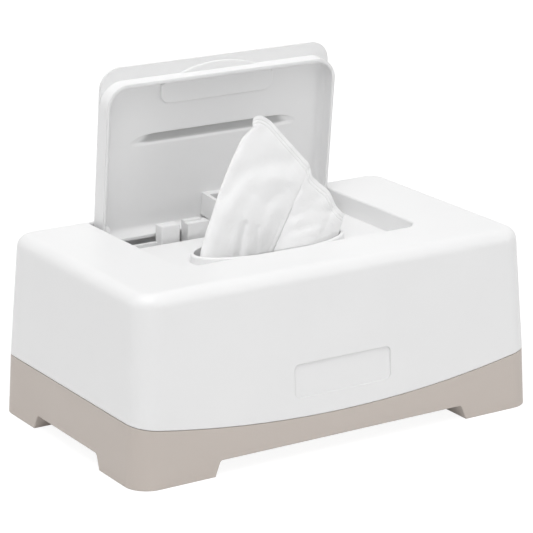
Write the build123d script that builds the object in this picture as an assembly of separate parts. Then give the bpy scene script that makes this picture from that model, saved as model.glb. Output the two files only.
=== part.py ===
from build123d import *
from math import pi, radians, sin, sqrt, tan
import os

# Baby wipes box, in millimetres. X runs along its length, Y from front to back, Z up.
# The origin is on the surface it stands on, under the middle of its footprint.
# The lid is drawn closed and then swung open, as the box stands at rest.

# overall form
box_length = 250.0
box_width = 150.0
deck_height = 100.0
base_corner = 13.0
cover_corner = 12.0
base_draft = 2.3
cover_draft = 3.4
deck_edge_radius = 7.0

# construction margins
cut_over = 1.0
weld = 0.2
match = 0.01
seam_margin = 10.0

# seam between the base and the cover: level at the ends, dipping along the front and back
seam_end_height = 33.2
seam_middle_height = 20.9
seam_gap = 0.3
cover_inset = 0.2
tongue_height = 4.0
tongue_thickness = 1.2
tongue_inset = 1.9
rebate_edge = 1.3

# base tray
base_wall = 3.1
base_floor = 2.6
foot_length = 45.6
foot_width = 39.3
foot_height = 8.2
foot_slant = 3.4
foot_rounding = 2.0
foot_pocket_radius = 6.0

# cover
cover_wall = 2.8
deck_thickness = 2.6
well_end_distance = 49.9
well_front_distance = 40.2
well_depth = 11.4
well_front_corner = 10.5
well_rear_corner = 1.5
well_edge_radius = 1.2
well_edge_strip = 2.0
trough_depth = 9.0
opening_half_length = 45.5
opening_half_width = 17.5
collar_wall = 2.0
collar_height = 4.5
collar_rounding = 0.8
plaque_length = 60.0
plaque_height = 18.0
plaque_middle_height = 41.0
plaque_depth = 0.7
plaque_corner = 3.0

# upright blocks in the trough, as spans along X on the left, mirrored to the right
outer_block_span = (-41.3, -29.7)
inner_block_span = (-24.8, -10.5)
block_reach = 15.0
block_depth = 7.0
block_headroom = 0.25
block_rounding = 0.7
inner_block_step = 1.0
rib_reach = 10.0
rib_thickness = 2.2
rib_drop = 1.0

# lid, measured closed
lid_side_gap = 2.5
lid_front_gap = 0.9
lid_rear_gap = 0.5
lid_panel = 2.3
lid_depth = 10.5
lid_overhang = 7.2
lid_front_corner = 11.5
lid_rim_corner = 13.0
lid_rim_wall = 1.8
lid_inner_radius = 2.8
lid_edge_radius = 1.0
groove_length = 105.6
groove_width = 6.3
groove_depth = 1.7
groove_setback = 39.7
groove_lip = 1.9
groove_run_out = 16.0
groove_end_swell = 0.06
groove_run_out_steps = 5
scoop_length = 71.2
scoop_width = 20.7
scoop_depth = 1.3
scoop_setback = 2.8
scoop_corner = 6.0
scoop_bow = 10.0
scoop_edge = 1.0
scoop_rounding = 0.5
boss_width = 12.0
boss_wall = 2.2
boss_back = 4.6
boss_length = 12.9
boss_reach = 14.2
boss_clearance = 1.2

# hinge
hinge_inset = 17.4
hinge_radius = 5.1
lid_open_angle = 84.2
pin_radius = 1.5
pin_running_clearance = 0.05
pin_bite = 3.4
pin_seat = 3.5
pin_boss_length = 4.2
bearing_radius = 4.2
bearing_thickness = 2.4
pin_end_gap = 0.3

# folded wipes
stack_end_gap = 25.0
stack_side_gap = 21.0
stack_height = 36.0
stack_corner = 5.0
stack_layers = 9
stack_layer_gap = 0.15
fold_share = 0.45

# the wipe that stands in the opening
sheet_thickness = 2.2
sheet_gap = 0.4
sheet_rise = 74.4
shoulder_share = 0.543
sheet_ripple = 0.9
sheet_stations = 14
sheet_points = 13
throat_clearance = 3.0
front_flap_depth = -2.0
front_flap_bulge = 3.4
front_flap_ripples = 1.5
rear_flap_depth = -0.8
rear_flap_bulge = -2.8
rear_flap_ripples = 1.0

hinge_y = box_width / 2 - hinge_inset
hinge_z = deck_height - hinge_radius
hinge_axis = Axis((0, hinge_y, hinge_z), (1, 0, 0))
well_half_length = box_length / 2 - well_end_distance
well_front = well_front_distance - box_width / 2
well_rear = hinge_y + hinge_radius + lid_rear_gap
well_floor = deck_height - well_depth
trough_floor = well_floor - trough_depth
block_front = hinge_y - block_reach
rib_front = hinge_y - rib_reach
seam_sag = seam_end_height - seam_middle_height
lid_front = well_front + lid_front_gap
lid_rear = well_rear - lid_rear_gap
lid_half_length = well_half_length - lid_side_gap
lid_underside = deck_height - lid_panel
lid_rim_low = deck_height - lid_depth
boss_low = lid_underside - boss_reach
boss_swing = sqrt(boss_length**2 + (hinge_z - boss_low)**2)
trough_front = hinge_y - boss_swing - boss_clearance
pin_boss_radius = hinge_radius - lid_rim_wall + weld
pin_inner_end = lid_half_length - lid_rim_wall - pin_bite
pin_outer_end = well_half_length + pin_seat
stack_length = box_length - 2 * stack_end_gap
stack_width = box_width - 2 * stack_side_gap
stack_top = foot_height + base_floor + stack_height
sheet_top = well_floor + sheet_rise
throat_half = opening_half_length - throat_clearance


def rounded_block(length, width, corner, low, high, draft):
    # an upright block with rounded corners, its size given at the low end, its sides leaning in
    lean = 2 * (high - low) * tan(radians(draft))
    bottom = Plane.XY.offset(low) * RectangleRounded(length, width, corner)
    top = Plane.XY.offset(high) * RectangleRounded(length - lean, width - lean, corner)
    return loft([bottom, top], ruled=True)


def base_block(inset, low, high):
    # the drafted outer form of the base, drawn in by an inset
    shrink = 2 * (inset + low * tan(radians(base_draft)))
    corner = base_corner - inset
    return rounded_block(box_length - shrink, box_width - shrink, corner, low, high, base_draft)


def cover_block(inset, low, high):
    # the drafted outer form of the cover, drawn in by an inset; it meets the base at the seam's ends
    to_seam = seam_end_height * tan(radians(base_draft)) + cover_inset
    shrink = 2 * (to_seam + inset + (low - seam_end_height) * tan(radians(cover_draft)))
    corner = cover_corner - inset
    return rounded_block(box_length - shrink, box_width - shrink, corner, low, high, cover_draft)


def below_seam(rise):
    # everything under the seam surface, raised or lowered: one long arc, carried from front to back
    half = box_length / 2
    outer = half + seam_margin
    radius = (half**2 + seam_sag**2) / (2 * seam_sag)
    outer_height = seam_middle_height + radius - sqrt(radius**2 - outer**2)
    arc = ThreePointArc(
        (-outer, outer_height + rise), (0, seam_middle_height + rise), (outer, outer_height + rise))
    sides = Polyline(
        (outer, outer_height + rise), (outer, -seam_margin), (-outer, -seam_margin),
        (-outer, outer_height + rise))
    profile = Plane.XZ * make_face([arc, sides])
    return extrude(profile, box_width, both=True)


def plan_block(half_length, front, rear, front_radius, rear_radius, low, high):
    # an upright block between two Y faces, symmetric in X, its rear corners sharp where their radius is 0
    outline = Pos(0, (front + rear) / 2) * Rectangle(2 * half_length, rear - front)
    outline = fillet(outline.vertices().group_by(Axis.Y)[0], front_radius)
    if rear_radius > 0:
        outline = fillet(outline.vertices().group_by(Axis.Y)[-1], rear_radius)
    return extrude(Plane.XY.offset(low) * outline, high - low)


def span_box(x_span, y_span, z_span):
    # a box from its spans along X, Y and Z
    size = [high - low for low, high in (x_span, y_span, z_span)]
    middle = [(high + low) / 2 for low, high in (x_span, y_span, z_span)]
    return Pos(*middle) * Box(*size)


def arch_cutter(half_at_floor, reach, plane):
    # the gap between two feet, wider at the ground than under the tray
    profile = Polyline(
        (-half_at_floor, 0), (-half_at_floor + foot_slant, foot_height),
        (half_at_floor - foot_slant, foot_height), (half_at_floor, 0),
        (half_at_floor, -cut_over), (-half_at_floor, -cut_over), close=True)
    face = make_face(profile)
    inner = face.vertices().sort_by(Axis.Y)[-2:]
    return extrude(plane * fillet(inner, foot_rounding), reach, both=True)


def base_tray():
    above_seam = seam_end_height + seam_margin
    body = base_block(0, 0, above_seam) & below_seam(0)
    body += base_block(tongue_inset, foot_height, above_seam) & below_seam(tongue_height)
    body -= arch_cutter(box_length / 2 - foot_length, box_width, Plane.XZ)
    body -= arch_cutter(box_width / 2 - foot_width, box_length, Plane.YZ)
    floor_top = foot_height + base_floor
    inside = tongue_inset + tongue_thickness
    body -= base_block(inside, floor_top, above_seam + cut_over)
    # each foot is hollow from inside the tray
    pocket_low = base_floor
    pocket_x = (box_length / 2 - foot_length + base_wall, box_length / 2 - base_wall - foot_slant)
    pocket_y = (box_width / 2 - foot_width + base_wall, box_width / 2 - base_wall - foot_slant)
    for side in (-1, 1):
        for end in (-1, 1):
            place = Pos(side * sum(pocket_x) / 2, end * sum(pocket_y) / 2, pocket_low)
            size = (pocket_x[1] - pocket_x[0], pocket_y[1] - pocket_y[0])
            body -= place * extrude(RectangleRounded(*size, foot_pocket_radius), floor_top - pocket_low)
    return body


def well_block(grow, low, high):
    # the well that the lid lies in, grown by a wall
    return plan_block(well_half_length + grow, well_front - grow, well_rear + grow,
                      well_front_corner + grow, well_rear_corner + grow, low, high)


def trough_block(grow, low, high):
    # the deeper trough behind the well's floor, wide enough for the lid's boss to swing through
    return plan_block(well_half_length + grow, trough_front - grow, well_rear + grow,
                      well_rear_corner, well_rear_corner + grow, low, high)


def trough_blocks():
    # two upright blocks on each side, and the low rib that ties the outer ones to the well's ends
    top = lid_underside - block_headroom
    back = block_front + block_depth
    outer = span_box(outer_block_span, (block_front, back), (trough_floor, top))
    upper_edges = outer.faces().sort_by(Axis.Z)[-1].edges()
    outer = fillet(upper_edges + outer.edges().filter_by(Axis.Z), block_rounding)
    inner = span_box(inner_block_span, (block_front, back), (trough_floor, top))
    step_z = (top - inner_block_step, top + cut_over)
    step_y = (block_front - cut_over, block_front + block_depth / 2)
    inner -= span_box(inner_block_span, step_y, step_z)
    end_x = (inner_block_span[1] - block_depth / 2, inner_block_span[1] + cut_over)
    inner -= span_box(end_x, (block_front - cut_over, back + cut_over), step_z)
    rib_x = (-well_half_length, outer_block_span[0] + block_rounding)
    rib = span_box(rib_x, (rib_front, rib_front + rib_thickness), (trough_floor, well_floor - rib_drop))
    left = outer + inner + rib
    return left + mirror(left, Plane.YZ)


def collar():
    low = well_floor - deck_thickness
    outer_x = opening_half_length + collar_wall
    outer_y = opening_half_width + collar_wall
    ring = extrude(Plane.XY.offset(low) * Ellipse(outer_x, outer_y), deck_thickness + collar_height)
    return fillet(ring.edges().sort_by(Axis.Z)[-1], collar_rounding)


def well_edge(body):
    # the strip of deck round the well, with its inner edge rounded over
    low = deck_height - well_edge_strip
    strip = well_block(well_edge_strip, low, deck_height)
    strip -= well_block(0, low - cut_over, deck_height + cut_over)
    inner = strip.faces().sort_by(Axis.Z)[-1].inner_wires()[0].edges()
    return fillet(inner, well_edge_radius) & body


def cover():
    low = seam_middle_height - cut_over
    body = cover_block(0, low, deck_height)
    body = fillet(body.faces().sort_by(Axis.Z)[-1].edges(), deck_edge_radius)
    hollow = cover_block(cover_wall, low - cut_over, deck_height - deck_thickness)
    hollow = fillet(hollow.faces().sort_by(Axis.Z)[-1].edges(), deck_edge_radius - deck_thickness)
    shell = body - hollow
    tub = well_block(cover_wall, well_floor - deck_thickness, deck_height)
    tub += trough_block(cover_wall, trough_floor - deck_thickness, deck_height)
    for side in (-1, 1):
        tub += bearing(side)
    shell += tub & body
    shell -= well_block(0, well_floor, deck_height + cut_over)
    shell -= well_block(well_edge_strip, deck_height - well_edge_strip, deck_height + cut_over)
    shell += well_edge(body)
    shell -= trough_block(0, trough_floor, well_floor + cut_over)
    shell += collar() + trough_blocks()
    throat = Ellipse(opening_half_length, opening_half_width)
    shell -= extrude(Plane.XY.offset(well_floor - deck_thickness - cut_over) * throat, 2 * well_depth)
    for side in (-1, 1):
        shell -= bearing_hole(side)
    shell -= below_seam(seam_gap)
    rebate = cover_block(rebate_edge, low - cut_over, deck_height / 2)
    shell -= rebate & below_seam(seam_gap + tongue_height)
    face_y = -cover_half_width(plaque_middle_height)
    plaque = Plane.XZ * RectangleRounded(plaque_length, plaque_height, plaque_corner)
    plaque = extrude(plaque, plaque_depth, both=True)
    plaque = Rot(-cover_draft, 0, 0) * plaque
    return shell - Pos(0, face_y, plaque_middle_height) * plaque


def cover_half_width(height):
    to_seam = seam_end_height * tan(radians(base_draft)) + cover_inset
    return box_width / 2 - to_seam - (height - seam_end_height) * tan(radians(cover_draft))


def x_cylinder(radius, x_low, x_high):
    # a cylinder on the hinge axis
    along = Plane(origin=(x_low, hinge_y, hinge_z), z_dir=(1, 0, 0))
    return extrude(along * Circle(radius), x_high - x_low)


def bearing(side):
    # a pad outside the well's end wall that holds the blind hole for the pin
    wall_out = well_half_length + cover_wall
    span = sorted((side * well_half_length, side * (wall_out + bearing_thickness)))
    return x_cylinder(bearing_radius, *span)


def bearing_hole(side):
    span = sorted((side * (well_half_length - cut_over), side * (pin_outer_end + pin_end_gap)))
    return x_cylinder(pin_radius + pin_running_clearance, *span)


def hinge_pin(side):
    span = sorted((side * pin_inner_end, side * pin_outer_end))
    return opened(x_cylinder(pin_radius, *span))


def groove_section(x, swell):
    # the groove's outline at one place: a steep front, a floor that slopes where it runs out, then a lip
    back = lid_front + groove_setback + groove_width
    front = back - groove_lip - sqrt(swell) * (groove_width - groove_lip)
    at_front = lid_underside + groove_depth * swell**3
    at_back = lid_underside + groove_depth * swell
    low = lid_underside - cut_over
    side = Polyline((x, front, low), (x, front, at_front), (x, back - groove_lip, at_back),
                    (x, back, lid_underside), (x, back, low), close=True)
    return Wire(side.edges())


def lid_groove():
    # a long groove with a straight back, which runs out at both ends along a quarter of a sine's turn
    reach = []
    for step in range(groove_run_out_steps + 1):
        share = step / groove_run_out_steps
        swell = max(groove_end_swell, sin(pi / 2 * share))
        reach.append((groove_length / 2 - groove_run_out * share, swell))
    stations = [(-x, swell) for x, swell in reach] + reach[::-1]
    return Solid.make_loft([groove_section(x, swell) for x, swell in stations], ruled=True)


def scoop(grow, low, high):
    # the thumb scoop's outline: straight at the back, bowed towards the free edge
    half = scoop_length / 2 + grow
    front = lid_front + scoop_setback - grow
    back = lid_front + scoop_setback + scoop_width + grow
    shoulder = front + scoop_bow
    bow = ThreePointArc((-half, shoulder), (0, front), (half, shoulder))
    rest = Polyline((half, shoulder), (half, back), (-half, back), (-half, shoulder))
    face = make_face([bow, rest])
    face = fillet(face.vertices().group_by(Axis.Y)[-1], scoop_corner + grow)
    return extrude(Plane.XY.offset(low) * face, high - low)


def lid_boss():
    # the hollow box under the lid between the inner blocks, open towards the free edge; it is moulded
    # with the lid, and made as a piece of its own that ends at the panel
    front = hinge_y - boss_length
    half = boss_width / 2
    outside = span_box((-half, half), (front, hinge_y), (boss_low, lid_underside))
    hole_x = (-half + boss_wall, half - boss_wall)
    hole_z = (boss_low + boss_wall, lid_underside - boss_back)
    return outside - span_box(hole_x, (front - cut_over, hinge_y - boss_wall), hole_z)


def scoop_plate():
    # the scoop's thickness under the panel, with its lower edge rounded over
    plate = scoop(0, lid_underside - scoop_depth, lid_underside + weld)
    return fillet(plate.faces().sort_by(Axis.Z)[0].edges(), scoop_rounding)


def on_outer_edge(edge):
    # the lid's top edge, round its three free sides and over its rounded back
    middle = edge.center()
    at_top = abs(middle.Z - deck_height) < match and middle.Y < hinge_y - cut_over
    at_side = abs(abs(middle.X) - lid_half_length) < match
    at_back = middle.Y > hinge_y and lid_rim_low + match < middle.Z < deck_height - match
    return at_top or (at_side and at_back)


def lid_closed():
    rim_front = lid_front + lid_overhang
    panel = plan_block(lid_half_length, lid_front, lid_rear, lid_front_corner, 0, lid_underside, deck_height)
    rim = plan_block(lid_half_length, rim_front, lid_rear, lid_rim_corner, 0, lid_rim_low, lid_underside)
    body = panel + rim
    rear = body.edges().filter_by(Axis.X).group_by(Axis.Z)[-1].sort_by(Axis.Y)[-1]
    body = fillet(rear, hinge_radius - match)
    outer_edges = body.edges().filter_by(on_outer_edge)
    body = fillet(outer_edges, lid_edge_radius)
    wall = lid_rim_wall
    tray = plan_block(lid_half_length - wall, rim_front + wall, lid_rear - wall, lid_rim_corner - wall,
                      0, lid_rim_low - cut_over, lid_underside)
    body -= fillet(tray.faces().sort_by(Axis.Z)[-1].edges(), lid_inner_radius)
    body += scoop_plate()
    body -= scoop(-scoop_edge, deck_height - scoop_depth, deck_height + cut_over)
    body -= lid_groove()
    inner = lid_half_length - wall
    for side in (-1, 1):
        boss_span = sorted((side * (inner - pin_boss_length), side * (inner + weld)))
        hole_span = sorted((side * (inner - pin_bite), side * (lid_half_length + cut_over)))
        body += x_cylinder(pin_boss_radius, *boss_span)
        body -= x_cylinder(pin_radius, *hole_span)
    return body


def opened(piece):
    return piece.rotate(hinge_axis, -lid_open_angle)


def wipe_stack():
    # a pile of folded wipes, each a flat packet with rounded folds along its long sides
    layer = stack_height / stack_layers
    thickness = layer - stack_layer_gap
    outline = RectangleRounded(stack_length, stack_width, stack_corner)
    packets = []
    for step in range(stack_layers):
        low = foot_height + base_floor + step * layer
        packet = extrude(Plane.XY.offset(low) * outline, thickness)
        packets.append(fillet(packet.edges().filter_by(Axis.X), fold_share * thickness))
    return Compound(children=packets)


def edge_at(points, height):
    # where an edge of the wipe lies at one height, straight between its points of (x, height)
    for (x_low, low), (x_high, high) in zip(points, points[1:]):
        if height <= high:
            return x_low + (x_high - x_low) * (height - low) / (high - low)
    return points[-1][0]


def flap(left_points, right_points, depth, bulge, ripples, top):
    # one flap of the wipe: an upright band that bows forward and ripples between its two edges
    low = stack_top + sheet_gap
    sections = []
    for step in range(sheet_stations):
        height = low + (top - low) * step / (sheet_stations - 1)
        left = edge_at(left_points, height)
        right = edge_at(right_points, height)
        front = []
        for part in range(sheet_points):
            share = part / (sheet_points - 1)
            wave = sheet_ripple * sin(2 * pi * ripples * share)
            y = depth - (bulge + wave) * sin(pi * share)
            front.append((left + (right - left) * share, y))
        ring = [(x, y, height) for x, y in front]
        ring += [(x, y + sheet_thickness, height) for x, y in reversed(front)]
        sections.append(Wire(Polyline(*ring, close=True).edges()))
    return Solid.make_loft(sections, ruled=True)


def sheet_edge(foot, points):
    # an edge of the wipe, from its foot on the pile through points given as shares: how far out in the
    # opening, and how far up the wipe's rise
    upper = [(out * throat_half, well_floor + up * sheet_rise) for out, up in points]
    return [(foot * throat_half, stack_top)] + upper


def wipe_sheet():
    # the wipe that stands in the opening: a front flap with its tip, and a rear flap to its right
    shoulder = well_floor + shoulder_share * sheet_rise
    front_left = sheet_edge(-0.8, [
        (-1, 0), (-0.95, 0.22), (-0.72, 0.53), (-0.53, 0.76), (-0.29, 0.92), (-0.2, 1)])
    front_right = sheet_edge(0.19, [
        (0.09, 0), (0.31, 0.315), (0.6, 0.556), (0.32, 0.8), (0.11, 0.933), (-0.02, 1)])
    rear_left = sheet_edge(0.12, [(0.02, 0), (0.24, 0.315), (0.52, shoulder_share)])
    rear_right = sheet_edge(0.8, [
        (1, 0), (1, 0.14), (0.98, 0.288), (0.81, 0.435), (0.62, shoulder_share)])
    front = flap(front_left, front_right, front_flap_depth, front_flap_bulge, front_flap_ripples, sheet_top)
    rear = flap(rear_left, rear_right, rear_flap_depth, rear_flap_bulge, rear_flap_ripples, shoulder)
    return front + rear


nodes = {
    "base_tray": base_tray(),
    "cover": cover(),
    "lid": opened(lid_closed()),
    "lid_boss": opened(lid_boss()),
    "hinge_pin_left": hinge_pin(-1),
    "hinge_pin_right": hinge_pin(1),
    "wipe_stack": wipe_stack(),
    "wipe_sheet": wipe_sheet(),
}

os.makedirs("parts", exist_ok=True)
for name, piece in nodes.items():
    export_step(piece, f"parts/{name}.step")
    size = piece.bounding_box().size
    print(name, f"{size.X:.1f} x {size.Y:.1f} x {size.Z:.1f} mm")
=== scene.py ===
import math

import bpy
import numpy as np
from mathutils import Matrix, Vector


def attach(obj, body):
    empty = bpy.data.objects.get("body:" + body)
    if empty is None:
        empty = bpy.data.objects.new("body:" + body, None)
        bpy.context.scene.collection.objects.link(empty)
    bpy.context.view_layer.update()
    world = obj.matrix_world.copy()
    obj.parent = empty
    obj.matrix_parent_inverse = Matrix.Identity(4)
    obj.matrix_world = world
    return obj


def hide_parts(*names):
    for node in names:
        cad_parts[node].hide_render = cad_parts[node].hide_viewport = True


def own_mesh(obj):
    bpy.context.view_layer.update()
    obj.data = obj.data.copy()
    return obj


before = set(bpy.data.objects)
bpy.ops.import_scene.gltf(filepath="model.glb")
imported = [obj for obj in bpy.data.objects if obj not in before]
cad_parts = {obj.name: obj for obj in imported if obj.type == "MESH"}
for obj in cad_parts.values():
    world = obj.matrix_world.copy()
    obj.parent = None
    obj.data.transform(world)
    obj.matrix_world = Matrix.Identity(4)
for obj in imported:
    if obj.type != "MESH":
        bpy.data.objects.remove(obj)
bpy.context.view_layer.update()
scene = bpy.context.scene
scene.view_settings.view_transform = "Standard"

# The camera stands in front of the left end, a little above the open lid.
shot = {
    "place": (-0.704973, -1.096827, 0.481),
    "heading": 32.692,  # degrees from +Y towards +X
    "dip": 17.118,  # degrees below level
    "roll": 0.254,  # degrees
    "focalPixels": 2532.08,
    "imagePixels": 533,
    "sensor": 36.0,
}


def addCamera(shot):
    heading, dip, roll = (math.radians(shot[k]) for k in ("heading", "dip", "roll"))
    ahead = Vector(
        (
            math.sin(heading) * math.cos(dip),
            math.cos(heading) * math.cos(dip),
            -math.sin(dip),
        )
    )
    side = Vector((math.cos(heading), -math.sin(heading), 0))
    above = side.cross(ahead)
    across = math.cos(roll) * side + math.sin(roll) * above
    up = -math.sin(roll) * side + math.cos(roll) * above
    camera = bpy.data.objects.new("camera", bpy.data.cameras.new("camera"))
    camera.data.sensor_width = shot["sensor"]
    camera.data.lens = shot["focalPixels"] / shot["imagePixels"] * shot["sensor"]
    camera.data.clip_start, camera.data.clip_end = 0.05, 30
    turn = Matrix((across, up, -ahead)).transposed().to_4x4()
    camera.matrix_world = Matrix.Translation(shot["place"]) @ turn
    scene.collection.objects.link(camera)
    scene.camera = camera


addCamera(shot)
print("camera set")


# Shader nodes
def addNode(tree, kind, values=None, **settings):
    node = tree.nodes.new(kind)
    for name, value in settings.items():
        setattr(node, name, value)
    for name, value in (values or {}).items():
        node.inputs[name].default_value = value
    return node


def addMath(tree, operation, first, second=0.0, clamp=False):
    node = addNode(tree, "ShaderNodeMath", operation=operation, use_clamp=clamp)
    for socket, value in zip(node.inputs, (first, second)):
        if isinstance(value, (int, float)):
            socket.default_value = value
        else:
            tree.links.new(value, socket)
    return node.outputs[0]


def newGroup(name, inputs, outputs):
    # inputs and outputs: name -> (socket type, start value)
    tree = bpy.data.node_groups.new(name, "ShaderNodeTree")
    for direction, sockets in (("INPUT", inputs), ("OUTPUT", outputs)):
        for label, (kind, value) in sockets.items():
            socket = tree.interface.new_socket(label, in_out=direction, socket_type=kind)
            if value is not None:
                socket.default_value = value
    return tree, tree.nodes.new("NodeGroupInput"), tree.nodes.new("NodeGroupOutput")


def useGroup(tree, group, values, position):
    node = tree.nodes.new("ShaderNodeGroup")
    node.node_tree = group
    for name, value in values.items():
        node.inputs[name].default_value = value
    tree.links.new(position, node.inputs["Position"])
    return node


number, vector = "NodeSocketFloat", "NodeSocketVector"


def makeMouldedSkin():
    # Skin of a moulded part: fine tooth on slow waves where the melt shrank, the waves again as a
    # faint tint, and clouds in the gloss.
    tree, given, out = newGroup(
        "mouldedSkin",
        {
            "Position": (vector, None),
            "Tooth Scale": (number, 1500.0),
            "Tooth Share": (number, 0.25),
            "Wave Scale": (number, 26.0),
        },
        {"Height": (number, None), "Tint": (number, None), "Gloss": (number, None)},
    )
    tooth = addNode(tree, "ShaderNodeTexNoise", {"Detail": 2.0, "Roughness": 0.5})
    wave = addNode(tree, "ShaderNodeTexNoise", {"Detail": 1.0, "Distortion": 0.4})
    cloud = addNode(tree, "ShaderNodeTexNoise", {"Scale": 70.0, "Detail": 4.0})
    for node in (tooth, wave, cloud):
        tree.links.new(given.outputs["Position"], node.inputs["Vector"])
    tree.links.new(given.outputs["Tooth Scale"], tooth.inputs["Scale"])
    tree.links.new(given.outputs["Wave Scale"], wave.inputs["Scale"])
    fine = addMath(
        tree, "MULTIPLY", tooth.outputs["Fac"], given.outputs["Tooth Share"]
    )
    tree.links.new(
        addMath(tree, "ADD", fine, wave.outputs["Fac"]), out.inputs["Height"]
    )
    tree.links.new(wave.outputs["Fac"], out.inputs["Tint"])
    tree.links.new(cloud.outputs["Fac"], out.inputs["Gloss"])
    return tree


def makeEdgeWear():
    # Rubbed edges: where a rounded normal leaves the face's own normal, broken up by noise.
    tree, given, out = newGroup(
        "edgeWear",
        {
            "Position": (vector, None),
            "Radius": (number, 0.0012),
            "Spread": (number, 6.0),
            "Patch Scale": (number, 140.0),
        },
        {"Wear": (number, None), "Normal": (vector, None)},
    )
    rounded = addNode(tree, "ShaderNodeBevel", samples=6)
    tree.links.new(given.outputs["Radius"], rounded.inputs["Radius"])
    own = addNode(tree, "ShaderNodeNewGeometry")
    match = addNode(tree, "ShaderNodeVectorMath", operation="DOT_PRODUCT")
    tree.links.new(rounded.outputs["Normal"], match.inputs[0])
    tree.links.new(own.outputs["Normal"], match.inputs[1])
    apart = addMath(tree, "SUBTRACT", 1.0, match.outputs["Value"])
    patch = addNode(tree, "ShaderNodeTexNoise", {"Detail": 3.0})
    tree.links.new(given.outputs["Position"], patch.inputs["Vector"])
    tree.links.new(given.outputs["Patch Scale"], patch.inputs["Scale"])
    spread = addMath(tree, "MULTIPLY", apart, given.outputs["Spread"])
    wear = addMath(tree, "MULTIPLY", spread, patch.outputs["Fac"], clamp=True)
    tree.links.new(wear, out.inputs["Wear"])
    tree.links.new(rounded.outputs["Normal"], out.inputs["Normal"])
    return tree


def makePaintedGrooveShade():
    # Painted shade on the floor of one groove: a darker colour stands in for the shade in the recess.
    # Position is in the groove's own frame: X along it, Y into the wall, Z across. The painted shade
    # starts at Start, is whole at Full, and leaves the wall's far face alone.
    tree, given, out = newGroup(
        "grooveShade",
        {
            "Position": (vector, None),
            "Half Length": (number, 0.05),
            "Half Width": (number, 0.003),
            "Start": (number, 0.0),
            "Full": (number, 0.001),
            "Far": (number, 0.002),
        },
        {"Painted Shade": (number, None)},
    )
    axes = addNode(tree, "ShaderNodeSeparateXYZ")
    tree.links.new(given.outputs["Position"], axes.inputs["Vector"])
    ramp = addNode(tree, "ShaderNodeMapRange", interpolation_type="SMOOTHSTEP")
    tree.links.new(axes.outputs["Y"], ramp.inputs["Value"])
    tree.links.new(given.outputs["Start"], ramp.inputs["From Min"])
    tree.links.new(given.outputs["Full"], ramp.inputs["From Max"])
    paintedShade = ramp.outputs["Result"]
    for axis, limit in (("X", "Half Length"), ("Z", "Half Width"), ("Y", "Far")):
        away = addMath(tree, "ABSOLUTE", axes.outputs[axis])
        inside = addMath(tree, "LESS_THAN", away, given.outputs[limit])
        paintedShade = addMath(tree, "MULTIPLY", paintedShade, inside)
    tree.links.new(paintedShade, out.inputs["Painted Shade"])
    return tree


def makeHandling():
    # Faint rubbing from hands and cloths: long soft smears that change the gloss only.
    tree, given, out = newGroup(
        "handling",
        {"Position": (vector, None), "Smear Scale": (number, 34.0)},
        {"Smear": (number, None)},
    )
    smearStretch = (0.35, 1.0, 1.6)  # long along X, short up the walls
    stretch = addNode(tree, "ShaderNodeMapping", {"Scale": smearStretch})
    tree.links.new(given.outputs["Position"], stretch.inputs["Vector"])
    smear = addNode(tree, "ShaderNodeTexNoise", {"Detail": 5.0, "Roughness": 0.6})
    tree.links.new(stretch.outputs["Vector"], smear.inputs["Vector"])
    tree.links.new(given.outputs["Smear Scale"], smear.inputs["Scale"])
    level = addNode(
        tree,
        "ShaderNodeMapRange",
        {"From Min": 0.42, "From Max": 0.72, "To Min": 0.0, "To Max": 1.0},
    )
    tree.links.new(smear.outputs["Fac"], level.inputs["Value"])
    tree.links.new(level.outputs["Result"], out.inputs["Smear"])
    return tree


def makeClothWeave():
    # Plain weave: the product of two sines across the threads, on soft crepe, with a tint of lint.
    tree, given, out = newGroup(
        "clothWeave",
        {
            "Position": (vector, None),
            "Threads": (number, 1700.0),
            "Crepe Scale": (number, 300.0),
        },
        {"Height": (number, None), "Tint": (number, None)},
    )
    turns = addMath(tree, "MULTIPLY", given.outputs["Threads"], 2 * math.pi)
    axes = addNode(tree, "ShaderNodeSeparateXYZ")
    tree.links.new(given.outputs["Position"], axes.inputs["Vector"])
    sines = [
        addMath(tree, "SINE", addMath(tree, "MULTIPLY", axes.outputs[k], turns))
        for k in "XY"
    ]
    crossing = addMath(tree, "MULTIPLY", sines[0], sines[1])
    crepe = addNode(tree, "ShaderNodeTexNoise", {"Detail": 5.0, "Roughness": 0.62})
    lint = addNode(tree, "ShaderNodeTexNoise", {"Scale": 900.0, "Detail": 2.0})
    for node in (crepe, lint):
        tree.links.new(given.outputs["Position"], node.inputs["Vector"])
    tree.links.new(given.outputs["Crepe Scale"], crepe.inputs["Scale"])
    threadShare = 0.12  # height of the threads beside that of the crepe
    threads = addMath(tree, "MULTIPLY", crossing, threadShare)
    tree.links.new(
        addMath(tree, "ADD", threads, crepe.outputs["Fac"]), out.inputs["Height"]
    )
    tree.links.new(lint.outputs["Fac"], out.inputs["Tint"])
    return tree


mouldedSkin = makeMouldedSkin()
edgeWear = makeEdgeWear()
grooveShade = makePaintedGrooveShade()
handling = makeHandling()
clothWeave = makeClothWeave()


def newMaterial(name, values):
    material = bpy.data.materials.new(name)
    material.use_nodes = True
    tree = material.node_tree
    shader = tree.nodes["Principled BSDF"]
    for label, value in values.items():
        shader.inputs[label].default_value = value
    return material, tree, shader


def mixColours(tree, share, first, second):
    # first: a colour, or another node's output; second: a colour
    mix = addNode(tree, "ShaderNodeMix", data_type="RGBA")
    if isinstance(first, tuple):
        mix.inputs["A"].default_value = (*first, 1)
    else:
        tree.links.new(first, mix.inputs["A"])
    mix.inputs["B"].default_value = (*second, 1)
    tree.links.new(share, mix.inputs["Factor"])
    return mix.outputs["Result"]


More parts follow.
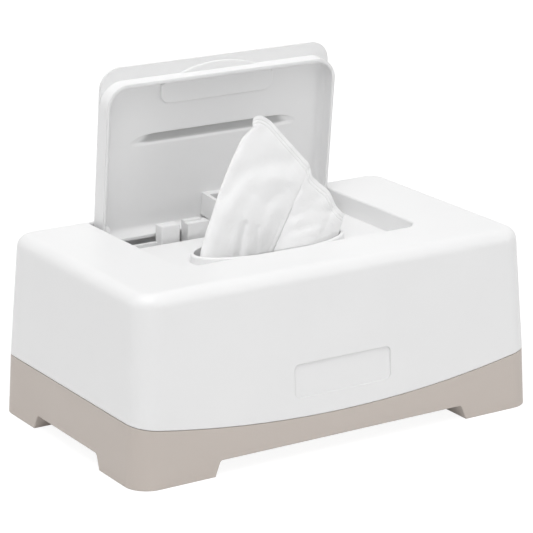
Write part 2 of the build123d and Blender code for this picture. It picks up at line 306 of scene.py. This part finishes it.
def plasticMaterial(name, finish):
    material, tree, shader = newMaterial(
        name,
        {
            "IOR": finish["ior"],
            "Coat Weight": finish["coat"],
            "Coat Roughness": finish["coatRoughness"],
        },
    )
    position = addNode(tree, "ShaderNodeTexCoord").outputs["Object"]
    skin = useGroup(
        tree,
        mouldedSkin,
        {
            "Tooth Scale": finish["toothScale"],
            "Tooth Share": finish["toothShare"],
            "Wave Scale": finish["waveScale"],
        },
        position,
    )
    wear = useGroup(
        tree,
        edgeWear,
        {"Radius": finish["edgeRadius"], "Spread": finish["edgeSpread"]},
        position,
    )
    hands = useGroup(tree, handling, {"Smear Scale": finish["smearScale"]}, position)
    colour = mixColours(tree, skin.outputs["Tint"], finish["deep"], finish["colour"])
    colour = mixColours(tree, wear.outputs["Wear"], colour, finish["edgeColour"])
    # painted shade: the groove's floor is mixed towards a darker colour, standing in for the shade in the
    # recess
    if "groove" in finish:
        groove = finish["groove"]
        inGroove = addNode(
            tree,
            "ShaderNodeMapping",
            {"Location": groove["place"], "Rotation": groove["turn"]},
            vector_type="TEXTURE",
        )
        tree.links.new(position, inGroove.inputs["Vector"])
        paintedShade = useGroup(tree, grooveShade, groove["values"], inGroove.outputs["Vector"])
        colour = mixColours(tree, paintedShade.outputs["Painted Shade"], colour, groove["colour"])
    tree.links.new(colour, shader.inputs["Base Color"])
    cloudy = addMath(
        tree, "MULTIPLY", skin.outputs["Gloss"], finish["roughnessSpread"]
    )
    smeared = addMath(
        tree, "MULTIPLY", hands.outputs["Smear"], finish["smearRoughness"]
    )
    rough = addMath(tree, "ADD", cloudy, smeared)
    tree.links.new(
        addMath(tree, "ADD", rough, finish["roughness"]), shader.inputs["Roughness"]
    )
    bump = addNode(
        tree,
        "ShaderNodeBump",
        {"Strength": 1.0, "Distance": finish["skinDepth"]},
    )
    tree.links.new(skin.outputs["Height"], bump.inputs["Height"])
    tree.links.new(wear.outputs["Normal"], bump.inputs["Normal"])
    tree.links.new(bump.outputs["Normal"], shader.inputs["Normal"])
    return material


whitePlastic = {
    "colour": (0.872, 0.872, 0.872),
    "deep": (0.85, 0.85, 0.852),
    "edgeColour": (0.93, 0.93, 0.93),
    "roughness": 0.24,
    "roughnessSpread": 0.16,
    "smearRoughness": 0.06,
    "smearScale": 30.0,
    "ior": 1.46,
    "coat": 0.0,
    "coatRoughness": 0.1,
    "toothScale": 1500.0,
    "toothShare": 0.06,
    "waveScale": 24.0,
    "skinDepth": 0.00035,
    "edgeRadius": 0.0009,
    "edgeSpread": 4.0,
}
# The lid is the same plastic. The floor of its groove gets painted shade: a darker colour that
# stands in for the shade in the recess.
lidPlastic = dict(
    whitePlastic,
    groove={
        "place": (0, 0.05547, 0.14358),  # the groove's middle on the panel's inner face
        "turn": (math.radians(5.8), 0, 0),  # the open lid's lean
        # the painted shade's colour
        "colour": (0.5, 0.5, 0.5),
        "values": {
            "Half Length": 0.054,
            "Half Width": 0.0036,
            "Start": 0.0006,
            "Full": 0.0015,
            "Far": 0.002,
        },
    },
)
greigePlastic = {
    "colour": (0.583, 0.525, 0.481),
    "deep": (0.562, 0.505, 0.462),
    "edgeColour": (0.645, 0.59, 0.545),
    "roughness": 0.42,
    "roughnessSpread": 0.16,
    "smearRoughness": 0.08,
    "smearScale": 26.0,
    "ior": 1.46,
    "coat": 0.0,
    "coatRoughness": 0.2,
    "toothScale": 1300.0,
    "toothShare": 0.2,
    "waveScale": 22.0,
    "skinDepth": 0.0003,
    "edgeRadius": 0.0009,
    "edgeSpread": 5.0,
}
pinSteel = {
    "colour": (0.6, 0.6, 0.61),
    "dark": (0.42, 0.42, 0.43),
    "roughness": 0.28,
    "drawScale": 900.0,
    "drawStretch": 0.05,  # scale of the streaks along the pin, beside that across it
    "drawStrength": 0.4,
    "drawDepth": 0.0001,
}


def steelMaterial(name, finish):
    # Drawn wire: noise stretched along X, the pin's own length.
    material, tree, shader = newMaterial(
        name, {"Metallic": 1.0, "Roughness": finish["roughness"]}
    )
    position = addNode(tree, "ShaderNodeTexCoord").outputs["Object"]
    along = addNode(
        tree, "ShaderNodeMapping", {"Scale": (finish["drawStretch"], 1.0, 1.0)}
    )
    tree.links.new(position, along.inputs["Vector"])
    draw = addNode(
        tree, "ShaderNodeTexNoise", {"Scale": finish["drawScale"], "Detail": 3.0}
    )
    tree.links.new(along.outputs["Vector"], draw.inputs["Vector"])
    streaks = mixColours(tree, draw.outputs["Fac"], finish["dark"], finish["colour"])
    tree.links.new(streaks, shader.inputs["Base Color"])
    bump = addNode(
        tree,
        "ShaderNodeBump",
        {"Strength": finish["drawStrength"], "Distance": finish["drawDepth"]},
    )
    tree.links.new(draw.outputs["Fac"], bump.inputs["Height"])
    tree.links.new(bump.outputs["Normal"], shader.inputs["Normal"])
    return material


cottonCloth = {
    "colour": (0.97, 0.97, 0.97),
    "shade": (0.95, 0.95, 0.953),
    "roughness": 0.92,
    "sheen": 0.2,
    "sheenRoughness": 0.5,
    "through": 0.06,  # share of the light that spreads inside the thin cloth
    "spread": 0.0015,
    "threads": 1700.0,  # threads per metre
    "crepeScale": 260.0,
    "weaveStrength": 0.7,
    "weaveDepth": 0.0005,
}


def clothMaterial(name, finish):
    material, tree, shader = newMaterial(
        name,
        {
            "Roughness": finish["roughness"],
            "Sheen Weight": finish["sheen"],
            "Sheen Roughness": finish["sheenRoughness"],
            "Subsurface Weight": finish["through"],
            "Subsurface Radius": (1.0, 1.0, 1.0),
            "Subsurface Scale": finish["spread"],
        },
    )
    place = addNode(tree, "ShaderNodeUVMap", uv_map="cloth").outputs["UV"]
    weave = useGroup(
        tree,
        clothWeave,
        {"Threads": finish["threads"], "Crepe Scale": finish["crepeScale"]},
        place,
    )
    tint = mixColours(tree, weave.outputs["Tint"], finish["shade"], finish["colour"])
    tree.links.new(tint, shader.inputs["Base Color"])
    bump = addNode(
        tree,
        "ShaderNodeBump",
        {"Strength": finish["weaveStrength"], "Distance": finish["weaveDepth"]},
    )
    tree.links.new(weave.outputs["Height"], bump.inputs["Height"])
    tree.links.new(bump.outputs["Normal"], shader.inputs["Normal"])
    return material


whiteShell = plasticMaterial("whiteShell", whitePlastic)
whiteLid = plasticMaterial("whiteLid", lidPlastic)
greigeTray = plasticMaterial("greigeTray", greigePlastic)
drawnSteel = steelMaterial("drawnSteel", pinSteel)
wipeCloth = clothMaterial("wipeCloth", cottonCloth)
finishes = {
    "cover": whiteShell,
    "lid": whiteLid,
    "lid_boss": whiteLid,
    "base_tray": greigeTray,
    "hinge_pin_left": drawnSteel,
    "hinge_pin_right": drawnSteel,
}
for node, material in finishes.items():
    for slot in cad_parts[node].material_slots:
        slot.material = material
print("materials made")


# Surfaces on a grid
def smoothThrough(stations, values, at):
    # Cubic through the stations: each span is a Hermite curve, and the slope at a station is the mean
    # of the slopes beside it, each weighed by the other span's length.
    stations, values = np.asarray(stations, float), np.asarray(values, float)
    values = values.reshape(len(stations), -1)
    span = np.diff(stations)[:, None]
    slope = np.diff(values, axis=0) / span
    inner = (slope[:-1] * span[1:] + slope[1:] * span[:-1]) / (span[:-1] + span[1:])
    tangent = np.vstack([slope[:1], inner, slope[-1:]])
    index = np.clip(np.searchsorted(stations, at, "right") - 1, 0, len(stations) - 2)
    width = span[index]
    t = (np.asarray(at)[:, None] - stations[index][:, None]) / width
    return (
        (2 * t**3 - 3 * t**2 + 1) * values[index]
        + (t**3 - 2 * t**2 + t) * width * tangent[index]
        + (3 * t**2 - 2 * t**3) * values[index + 1]
        + (t**3 - t**2) * width * tangent[index + 1]
    )


def gridPiece(name, points, flat, material):
    # points: rows x columns x 3 in metres; flat: the same points on the uncut cloth, rows x columns x 2
    rows, columns = points.shape[:2]
    index = np.arange(rows * columns).reshape(rows, columns)
    faces = np.stack(
        [index[:-1, :-1], index[:-1, 1:], index[1:, 1:], index[1:, :-1]], axis=-1
    ).reshape(-1, 4)
    mesh = bpy.data.meshes.new(name)
    mesh.from_pydata(points.reshape(-1, 3), [], faces)
    layer = mesh.uv_layers.new(name="cloth")
    layer.data.foreach_set("uv", flat.reshape(-1, 2)[faces.reshape(-1)].ravel())
    mesh.polygons.foreach_set("use_smooth", np.ones(len(faces), bool))
    mesh.materials.append(material)
    mesh.update()
    piece = bpy.data.objects.new(name, mesh)
    scene.collection.objects.link(piece)
    return piece


def addThickness(piece, thickness):
    solid = piece.modifiers.new("thickness", "SOLIDIFY")
    solid.thickness, solid.offset = thickness, 0
    solid.use_even_offset = False


def lengthAlong(points):
    # mean distance along the cloth from its first row to each row
    step = np.linalg.norm(np.diff(points, axis=0), axis=-1).mean(axis=1)
    return np.concatenate([[0], np.cumsum(step)])


def softStep(distance, width):
    # rises from 0 below zero to 1 above it: one over one plus e to the power of -distance / width
    return 1 / (1 + np.exp(-distance / width))


def awayFromLine(x, z, line):
    # distance from each grid point to the nearest point of a line of straight pieces
    best = np.full(x.shape, 1e9)
    for (x0, z0), (x1, z1) in zip(line, line[1:]):
        dx, dz = x1 - x0, z1 - z0
        t = np.clip(((x - x0) * dx + (z - z0) * dz) / (dx * dx + dz * dz), 0, 1)
        best = np.minimum(best, np.hypot(x - x0 - t * dx, z - z0 - t * dz))
    return best


# The wipe. One cloth: a tucked end, the front panel, a soft fold down its left side, then the rear
# panel, which runs on to the right. Lengths in this dictionary are millimetres.
wipe = {
    # along the cloth from the left fold: (station, throat x, depth, top x, top z, top depth)
    "columns": [
        (-66.0, -10.0, -1.6, 8.0, 120.0, 0.9),
        (-57.0, -5.0, -3.4, 14.5, 123.5, 0.7),
        (-50.4, 1.0, -5.2, 23.2, 128.6, 0.4),
        (-48.8, 2.6, -5.75, 25.6, 130.4, 0.25),
        (-48.0, 3.1, -6.15, 26.4, 131.4, 0.0),
        (-47.2, 2.6, -6.35, 26.2, 132.3, -0.1),
        (-43.0, -1.4, -6.5, 22.2, 137.0, -0.1),
        (-30.0, -13.2, -6.7, 11.0, 149.2, 0.1),
        (-15.0, -27.4, -6.1, -0.2, 161.1, 0.3),
        (-9.0, -33.4, -6.0, -4.4, 163.6, 0.3),
        (-5.0, -37.4, -5.6, -7.2, 164.0, 0.4),
        (-2.0, -41.0, -4.3, -9.2, 163.3, 0.7),
        (0.0, -43.0, -2.4, -9.9, 162.2, 1.1),
        (2.0, -41.4, -0.5, -9.2, 163.2, 1.3),
        (5.0, -38.6, 1.8, -6.7, 163.9, 1.4),
        (9.0, -34.8, 3.6, -3.2, 162.8, 1.5),
        (14.0, -30.2, 4.2, 0.9, 159.7, 1.6),
        (26.0, -19.0, 3.2, 9.7, 150.2, 1.4),
        (36.0, -9.0, -0.6, 17.6, 141.6, 1.1),
        (44.0, -1.0, -4.1, 24.3, 134.6, 0.7),
        (46.8, 1.8, -5.4, 26.1, 132.4, 0.3),
        (48.0, 3.0, -5.9, 26.6, 131.2, 0.05),
        (49.4, 4.4, -6.4, 27.0, 129.3, -0.1),
        (51.5, 6.5, -7.1, 27.6, 126.8, -0.1),
        (56.5, 11.5, -8.8, 31.4, 122.6, 0.2),
        (67.0, 22.0, -10.5, 39.0, 115.8, 0.0),
        (77.0, 32.0, -10.0, 43.6, 107.2, -1.8),
        (87.5, 44.4, -7.0, 49.0, 101.2, -3.6),
    ],
    "throatHeight": 88.0,
    # the left fold's outline as (height, x)
    "leftOutline": [
        (88.0, -43.0), (94.6, -42.2), (99.1, -40.8), (106.6, -38.2), (114.7, -34.9),
        (124.4, -31.3), (130.9, -28.4), (141.9, -23.1), (152.4, -17.1), (155.0, -13.9),
        (157.8, -9.7), (160.2, -10.0), (162.2, -9.8),
    ],
    "outlineReach": 11.0,  # how far along the cloth that outline pulls
    "lean": 0.09,  # how far back the cloth leans, per unit of height
    "pocket": 0.4,  # how far each panel bulges away from the other
    "swellHeights": (95.0, 60.0),  # top height at which the bulge starts, and the rise that it grows over
    # soft steps along the cloth: (station, width)
    "leftFold": (-2.0, 3.0),
    "frontPocketStart": (-38.0, 3.0),
    "rearPocketEnd": (30.0, 3.0),
    "frontCreaseStart": (-45.5, 0.8),
    "frontCreaseEnd": (-3.0, 1.2),
    "rearCreaseStart": (40.0, 3.0),
    # soft creases: (panel, height of a ridge or, below 0, depth of a valley, width, line of (x, height))
    "creases": [
        ("front", -0.9, 2.2, [(-15.0, 105.0), (-16.6, 99.1), (-19.2, 86.0)]),
        ("front", 0.15, 2.4, [(-10.8, 106.0), (-12.3, 98.0), (-14.2, 86.0)]),
        ("front", 0.3, 3.2, [(-19.5, 105.0), (-21.5, 96.0), (-23.5, 86.0)]),
        ("front", -0.3, 1.6, [(-6.4, 102.0), (-7.4, 90.0)]),
        ("front", -0.22, 0.6, [(0.2, 88.0), (11.5, 109.0)]),
        (
            "front",
            -0.8,
            5.0,
            [(-27.5, 124.0), (-16.6, 133.2), (-5.9, 136.6), (5.0, 136.0), (15.0, 137.0)],
        ),
        ("front", 0.4, 4.6, [(-22.0, 119.0), (-10.0, 127.5), (2.0, 128.0), (13.0, 127.0)]),
        ("front", -0.5, 3.6, [(-13.9, 124.5), (-2.2, 115.4), (5.1, 116.4), (11.0, 121.0)]),
        ("front", 0.25, 6.0, [(-31.0, 113.0), (-19.0, 111.0)]),
        ("front", 0.2, 5.0, [(-17.0, 143.0), (-7.0, 151.0)]),
        ("front", 0.2, 2.8, [(1.0, 109.0), (-1.5, 97.0)]),
        ("rear", 0.4, 5.0, [(26.0, 120.0), (36.0, 113.5)]),
        ("rear", -0.3, 2.6, [(16.0, 104.5), (28.0, 107.0), (42.0, 104.0)]),
        ("rear", -0.25, 2.2, [(17.0, 97.0), (37.0, 98.5)]),
        ("rear", -0.4, 2.2, [(40.0, 104.0), (35.5, 94.0)]),
        ("rear", 0.3, 2.4, [(43.5, 102.0), (41.0, 93.0)]),
    ],
    # the hem: lines pressed in beside the cloth's upper edge
    "hemLines": (2.5, 4.3),
    "hemDepth": 0.3,
    "hemWidth": 0.42,
    # slow ripples: (height, radians per millimetre of cloth, radians per millimetre of height)
    "ripples": [(0.13, 0.41, 0.13), (0.1, -0.22, 0.47)],
    "rippleGrowth": 0.25,  # share of the height over which the ripples grow
    "sightSlope": (0.642, 0.33),  # a point's slide across and down in the view, per unit of depth
    "straight": 27.0,  # from the throat straight down
    "bend": 9.0,  # radius of the turn onto the pile
    "laid": 40.0,  # flat run on the pile, towards the hinge
    "laidHeight": 51.3,  # height of the cloth's middle where it lies
    "laidSpread": 1.3,  # how much wider the cloth lies at its tucked end
    "spreadEase": 1.2,
    "laidSqueeze": 0.33,  # share of the depth between the panels that is left where it lies
    "laidWave": (1.1, 9.0, 0.06),  # sideways sway: height, radians down the cloth, radians per station
    "pileTop": 46.8,
    "thickness": 0.45,
    "flat": (0.155, 0.17),  # metres
    "lidShut": 0.40,  # share of its height that the shut lid leaves
    "rowsBelow": 44,
    "rowsAbove": 128,
    "rowEase": 1.4,  # above 1, the rows crowd towards the upper edge
    "acrossCount": 232,
}


def nearSight(x, z, y, slope):
    # a point at depth y that covers the same place in the camera's view as (x, 0, z)
    across, down = slope
    return np.stack([x + across * y, y, z - down * y], axis=-1)


def wipeAbove(wipe, u):
    # above the throat: a straight line from throat to top for each column, then pushed out
    columns = np.array(wipe["columns"])
    throatX, throatY, topX, topZ, topY = smoothThrough(
        columns[:, 0], columns[:, 1:], u
    ).T
    height = topZ - wipe["throatHeight"]
    v = 1 - np.linspace(1, 0, wipe["rowsAbove"])[:, None] ** wipe["rowEase"]
    x = throatX + (topX - throatX) * v
    z = wipe["throatHeight"] + height * v
    y = throatY + (topY - throatY) * v

    def stepUp(name):
        station, width = wipe[name]
        return softStep(u - station, width)

    def stepDown(name):
        station, width = wipe[name]
        return softStep(station - u, width)

    # the left fold takes the outline's place, and the columns near it follow
    heights, outline = np.array(wipe["leftOutline"]).T
    straight = np.interp(
        z, [wipe["throatHeight"], heights[-1]], [outline[0], outline[-1]]
    )
    pull = np.exp(-((u / wipe["outlineReach"]) ** 2))
    x = x + (np.interp(z, heights, outline) - straight) * pull
    # the panels bulge away from each other
    swellFrom, swellRise = wipe["swellHeights"]
    swell = np.sin(np.pi * v) * np.clip((topZ - swellFrom) / swellRise, 0, 1)
    front = stepDown("leftFold")
    forward = front * stepUp("frontPocketStart")
    backward = (1 - front) * stepDown("rearPocketEnd")
    y = y + wipe["pocket"] * swell * (backward - forward)
    masks = {
        "front": stepDown("frontCreaseEnd") * stepUp("frontCreaseStart"),
        "rear": stepUp("rearCreaseStart"),
    }
    for panel, rise, width, line in wipe["creases"]:
        crease = np.exp(-((awayFromLine(x, z, line) / width) ** 2))
        y = y - rise * crease * masks[panel]
    fromEdge = (1 - v) * np.hypot(topX - throatX, height)
    for line in wipe["hemLines"]:
        y = y + wipe["hemDepth"] * np.exp(-(((fromEdge - line) / wipe["hemWidth"]) ** 2))
    ripple = sum(rise * np.sin(u * across + z * up) for rise, across, up in wipe["ripples"])
    y = y + ripple * np.clip(v / wipe["rippleGrowth"], 0, 1)
    y = y + wipe["lean"] * (z - wipe["throatHeight"])
    return nearSight(x, z, y, wipe["sightSlope"])


def wipeBelow(wipe, u, start):
    # below the throat: down, a quarter turn, then along the pile; depth becomes height on the way
    straight, radius = wipe["straight"], wipe["bend"]
    turn = radius * math.pi / 2
    whole = straight + turn + wipe["laid"]
    s = np.linspace(whole, 0, wipe["rowsBelow"], endpoint=False)[:, None]
    angle = np.clip((s - straight) / radius, 0, math.pi / 2)
    run = np.clip(s - straight - turn, 0, None)
    along = radius * (1 - np.cos(angle)) + run
    down = np.minimum(s, straight) + radius * np.sin(angle)
    share = s / whole
    squeeze = 1 - (1 - wipe["laidSqueeze"]) * np.clip(s / straight, 0, 1)
    off = start[:, 1] * squeeze
    top = start[:, 2] * (1 - share) + share * wipe["throatHeight"]
    bottom = wipe["throatHeight"] - straight - radius
    sink = (wipe["laidHeight"] - bottom) * np.clip(down / (straight + radius), 0, 1)
    spread = 1 + (wipe["laidSpread"] - 1) * share ** wipe["spreadEase"]
    sway, swayDown, swayAcross = wipe["laidWave"]
    x = start[:, 0] * spread + sway * np.sin(share * swayDown + u * swayAcross) * share
    y = along + off * np.cos(angle)
    z = top - down + sink + off * np.sin(angle)
    return np.stack(np.broadcast_arrays(x, y, z), axis=-1)


def wipePoints(wipe):
    # the cloth from its tucked end to its upper edge, and where each point lies on it laid flat
    first, last = wipe["columns"][0][0], wipe["columns"][-1][0]
    u = np.linspace(first, last, wipe["acrossCount"])
    above = wipeAbove(wipe, u)
    below = wipeBelow(wipe, u, above[0])
    points = np.vstack([below, above]) / 1000
    across, along = (u[None, :] - first) / 1000, lengthAlong(points)[:, None]
    return points, np.stack(np.broadcast_arrays(across, along), axis=-1)


points, flat = wipePoints(wipe)
wipePiece = gridPiece("wipe", points, flat, wipeCloth)
addThickness(wipePiece, wipe["thickness"] / 1000)
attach(wipePiece, "cover")
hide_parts("wipe_sheet")
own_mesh(wipePiece)
print("wipe made")


# The pile: one long run of cloth folded to and fro, as interleaved wipes lie. Millimetres.
pile = {
    "halfLength": 99.2,
    "halfWidth": 53.4,
    "low": 10.8,
    "height": 36.0,
    "layers": 27,
    "thickness": 0.95,
    "acrossCount": 38,
    "alongCount": 20,
    "turnCount": 6,
    # how the folds wander in and out: (height, radians along a fold, radians from layer to layer)
    "wanders": [(0.35, 2.1, 1.7), (0.25, 5.3, -2.9)],
    "foldsIn": 0.6,  # mean distance of the folds inside the half width
    "endWave": (0.5, 0.4, 0.23),  # the cloth's ends: mean distance inside, height, radians per row
    "flat": (0.198, 2.86),  # metres
}


def pilePoints(pile):
    # flat runs to and fro, one layer above the other, joined at their ends by half circles; the folds
    # and the cloth's ends wander as slow sines
    pitch = pile["height"] / pile["layers"]
    radius = pitch / 2
    x = np.linspace(-1, 1, pile["acrossCount"])
    layers = np.arange(pile["layers"])
    wander = sum(
        height * np.sin(x * along + layers[:, None] * onwards)
        for height, along, onwards in pile["wanders"]
    )
    reach = pile["halfWidth"] - radius - pile["thickness"] / 2 + (wander - pile["foldsIn"])
    blend = (np.linspace(-1, 1, pile["alongCount"])[:, None] + 1) / 2
    arc = np.linspace(0, math.pi, pile["turnCount"] + 2)[1:-1]
    rows = []
    for layer in layers:
        side = 1 if layer % 2 == 0 else -1
        level = pile["low"] + radius + layer * pitch
        start, reachNext = reach[max(layer - 1, 0)], reach[layer]
        y = side * (-start * (1 - blend) + reachNext * blend)
        rows.append(np.stack([y, np.full_like(y, level)], axis=-1))
        if layer < pile["layers"] - 1:
            turnY = side * (reachNext + radius * np.sin(arc)[:, None])
            turnZ = np.broadcast_to(
                level + radius * (1 - np.cos(arc))[:, None], turnY.shape
            )
            rows.append(np.stack([turnY, turnZ], axis=-1))
    yz = np.concatenate(rows)
    endIn, endSway, endTurn = pile["endWave"]
    ends = pile["halfLength"] - endIn + endSway * np.sin(np.arange(len(yz)) * endTurn)[:, None]
    points = np.stack([x * ends, yz[..., 0], yz[..., 1]], axis=-1) / 1000
    across, along = points[:, :, 0], lengthAlong(points)[:, None]
    return points, np.stack(np.broadcast_arrays(across, along), axis=-1)


points, flat = pilePoints(pile)
pilePiece = gridPiece("wipePile", points, flat, wipeCloth)
addThickness(pilePiece, pile["thickness"] / 1000)
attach(pilePiece, "base")
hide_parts("wipe_stack")
print("pile made")


# Studio: pale floor, white beyond it, soft lamps
studio = {
    "floorHalf": 4.0,  # metres, as are the two distances of the fade
    "floorColour": (0.85, 0.85, 0.85),
    "floorFadeFrom": 0.28,
    "floorFadeTo": 0.6,
    "floorLift": 0.78,  # share of plain white in the floor near the object
    "floorWhite": 1.16,
    "ambient": 0.455,  # strength of the world's light on the object
    "lamps": [
        # name, place, aim, size, watts
        ("overhead", (-0.25, -0.3, 2.2), (0, 0, 0.08), 1.7, 18.0),
        ("key", (-0.718, -0.919, 1.866), (0, 0, 0.08), 1.7, 13.4),
        ("leftFill", (-1.9, 1.0, 0.7), (0, 0, 0.06), 1.2, 1.9),
        ("rightFill", (1.25, -1.9, 0.9), (0, 0, 0.06), 1.2, 4.3),
    ],
}


def addSight(tree):
    # 1 where the surface is looked at, straight or by way of gloss or glass, and 0 where it lights
    paths = addNode(tree, "ShaderNodeLightPath")
    seen = addMath(tree, "MAXIMUM", paths.outputs["Is Camera Ray"], paths.outputs["Is Glossy Ray"])
    return addMath(tree, "MAXIMUM", seen, paths.outputs["Is Transmission Ray"])


def addFloor(studio):
    half = studio["floorHalf"]
    mesh = bpy.data.meshes.new("floor")
    mesh.from_pydata(
        [(-half, -half, 0), (half, -half, 0), (half, half, 0), (-half, half, 0)],
        [],
        [(0, 1, 2, 3)],
    )
    floor = bpy.data.objects.new("floor", mesh)
    scene.collection.objects.link(floor)
    material = bpy.data.materials.new("floorWhite")
    material.use_nodes = True
    tree = material.node_tree
    tree.nodes.clear()
    place = addNode(tree, "ShaderNodeTexCoord").outputs["Object"]
    length = addNode(tree, "ShaderNodeVectorMath", operation="LENGTH")
    tree.links.new(place, length.inputs[0])
    far = addNode(
        tree,
        "ShaderNodeMapRange",
        {
            "From Min": studio["floorFadeFrom"],
            "From Max": studio["floorFadeTo"],
            "To Min": studio["floorLift"],
            "To Max": 1.0,
        },
        interpolation_type="SMOOTHSTEP",
    )
    tree.links.new(length.outputs["Value"], far.inputs["Value"])
    share = addMath(tree, "MULTIPLY", far.outputs["Result"], addSight(tree))
    matte = addNode(tree, "ShaderNodeBsdfDiffuse", {"Color": (*studio["floorColour"], 1)})
    plain = addNode(tree, "ShaderNodeEmission", {"Strength": studio["floorWhite"]})
    mix = addNode(tree, "ShaderNodeMixShader")
    out = addNode(tree, "ShaderNodeOutputMaterial")
    tree.links.new(share, mix.inputs[0])
    tree.links.new(matte.outputs[0], mix.inputs[1])
    tree.links.new(plain.outputs[0], mix.inputs[2])
    tree.links.new(mix.outputs[0], out.inputs["Surface"])
    mesh.materials.append(material)


def addWorld(studio):
    world = bpy.data.worlds.new("studioWhite")
    scene.world = world
    world.use_nodes = True
    tree = world.node_tree
    level = addNode(
        tree,
        "ShaderNodeMapRange",
        {"To Min": studio["ambient"], "To Max": 1.0},
    )
    tree.links.new(addSight(tree), level.inputs["Value"])
    background = tree.nodes["Background"]
    background.inputs["Color"].default_value = (1, 1, 1, 1)
    tree.links.new(level.outputs["Result"], background.inputs["Strength"])


def addLamps(studio):
    for name, place, aim, size, watts in studio["lamps"]:
        light = bpy.data.lights.new(name, "AREA")
        light.shape, light.size, light.energy = "DISK", size, watts
        lamp = bpy.data.objects.new(name, light)
        lamp.location = place
        toward = Vector(aim) - Vector(place)
        lamp.rotation_mode = "QUATERNION"
        lamp.rotation_quaternion = toward.to_track_quat("-Z", "Y")
        scene.collection.objects.link(lamp)


addFloor(studio)
addWorld(studio)
addLamps(studio)
print("studio lit")
